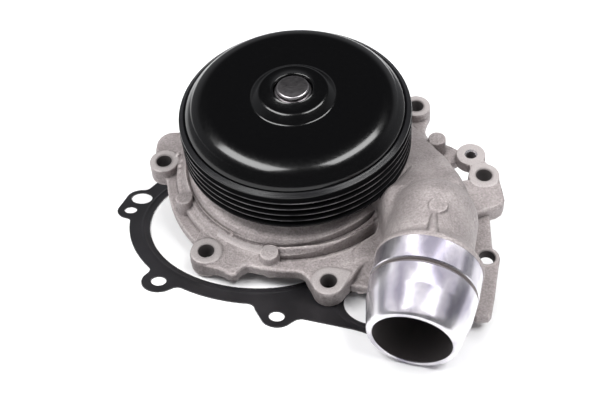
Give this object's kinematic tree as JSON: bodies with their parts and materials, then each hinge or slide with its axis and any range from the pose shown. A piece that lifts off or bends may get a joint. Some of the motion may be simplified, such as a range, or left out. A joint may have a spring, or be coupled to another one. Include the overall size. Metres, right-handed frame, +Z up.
{
  "type": "engine water pump",
  "caption": "Engine water pump with a black ribbed belt pulley on a cast aluminium housing with a machined hose outlet, and its loose flange gasket.",
  "frame": {"origin": "point on the bench under the middle of the whole part's bounding box", "axes": "+Z is up from the bench. The pump lies tipped forward on its outlet, front lug and impeller, so the shaft axis leans 19 degrees from +Z, mostly towards -Y, where the hose outlet points. +X is to the right of the outlet as seen from the front."},
  "size_m": [0.1696, 0.1836, 0.0824],
  "materials": {
    "cast_aluminium": "as-cast, fine shot-blasted grain, with machined outlet and boss faces",
    "black_paint": "gloss black e-coat",
    "bearing_steel": "ground",
    "stainless": "pressed sheet, satin",
    "seal_rubber": "moulded nitrile, matt",
    "seal_carbon": "lapped carbon",
    "seal_ceramic": "lapped ceramic",
    "impeller_plastic": "moulded glass-filled plastic",
    "cage_nylon": "moulded nylon",
    "gasket_coating": "steel sheet with a thin satin rubber coat"
  },
  "bodies": {
    "root": {"housing_casting": "cast_aluminium", "gasket": "gasket_coating", "bearing_outer_ring": "bearing_steel", "bearing_seal_front": "seal_rubber", "bearing_seal_rear": "seal_rubber", "seal_cup": "stainless", "seal_bellows": "seal_rubber", "seal_spring": "stainless", "seal_carbon_ring": "seal_carbon"},
    "rotor": {"pulley": "black_paint", "pulley_hub": "bearing_steel", "shaft": "bearing_steel", "slinger": "stainless", "seal_mating_ring": "seal_ceramic", "impeller": "impeller_plastic"},
    "ball_set": {"ball_cage": "cage_nylon", "bearing_ball_1": "bearing_steel", "bearing_ball_2": "bearing_steel", "bearing_ball_3": "bearing_steel", "bearing_ball_4": "bearing_steel", "bearing_ball_5": "bearing_steel", "bearing_ball_6": "bearing_steel", "bearing_ball_7": "bearing_steel", "bearing_ball_8": "bearing_steel"},
    "roller_set": {"roller_cage": "cage_nylon", "bearing_roller_1": "bearing_steel", "bearing_roller_2": "bearing_steel", "bearing_roller_3": "bearing_steel", "bearing_roller_4": "bearing_steel", "bearing_roller_5": "bearing_steel", "bearing_roller_6": "bearing_steel", "bearing_roller_7": "bearing_steel", "bearing_roller_8": "bearing_steel", "bearing_roller_9": "bearing_steel", "bearing_roller_10": "bearing_steel"}
  },
  "joints": [
    {"name": "shaft_spin", "type": "hinge", "parent": "root", "child": "rotor", "pos_m": [-0.00107, 0.02638, 0.0225], "axis": [-0.1288, -0.2966, 0.9463], "continuous": true},
    {"name": "ball_set_spin", "type": "hinge", "parent": "root", "child": "ball_set", "pos_m": [-0.00107, 0.02638, 0.0225], "axis": [-0.1288, -0.2966, 0.9463], "continuous": true},
    {"name": "roller_set_spin", "type": "hinge", "parent": "root", "child": "roller_set", "pos_m": [-0.00107, 0.02638, 0.0225], "axis": [-0.1288, -0.2966, 0.9463], "continuous": true}
  ],
  "couplings": [
    {"joint": "ball_set_spin", "follows": "shaft_spin", "ratio": 0.39},
    {"joint": "roller_set_spin", "follows": "shaft_spin", "ratio": 0.39}
  ]
}
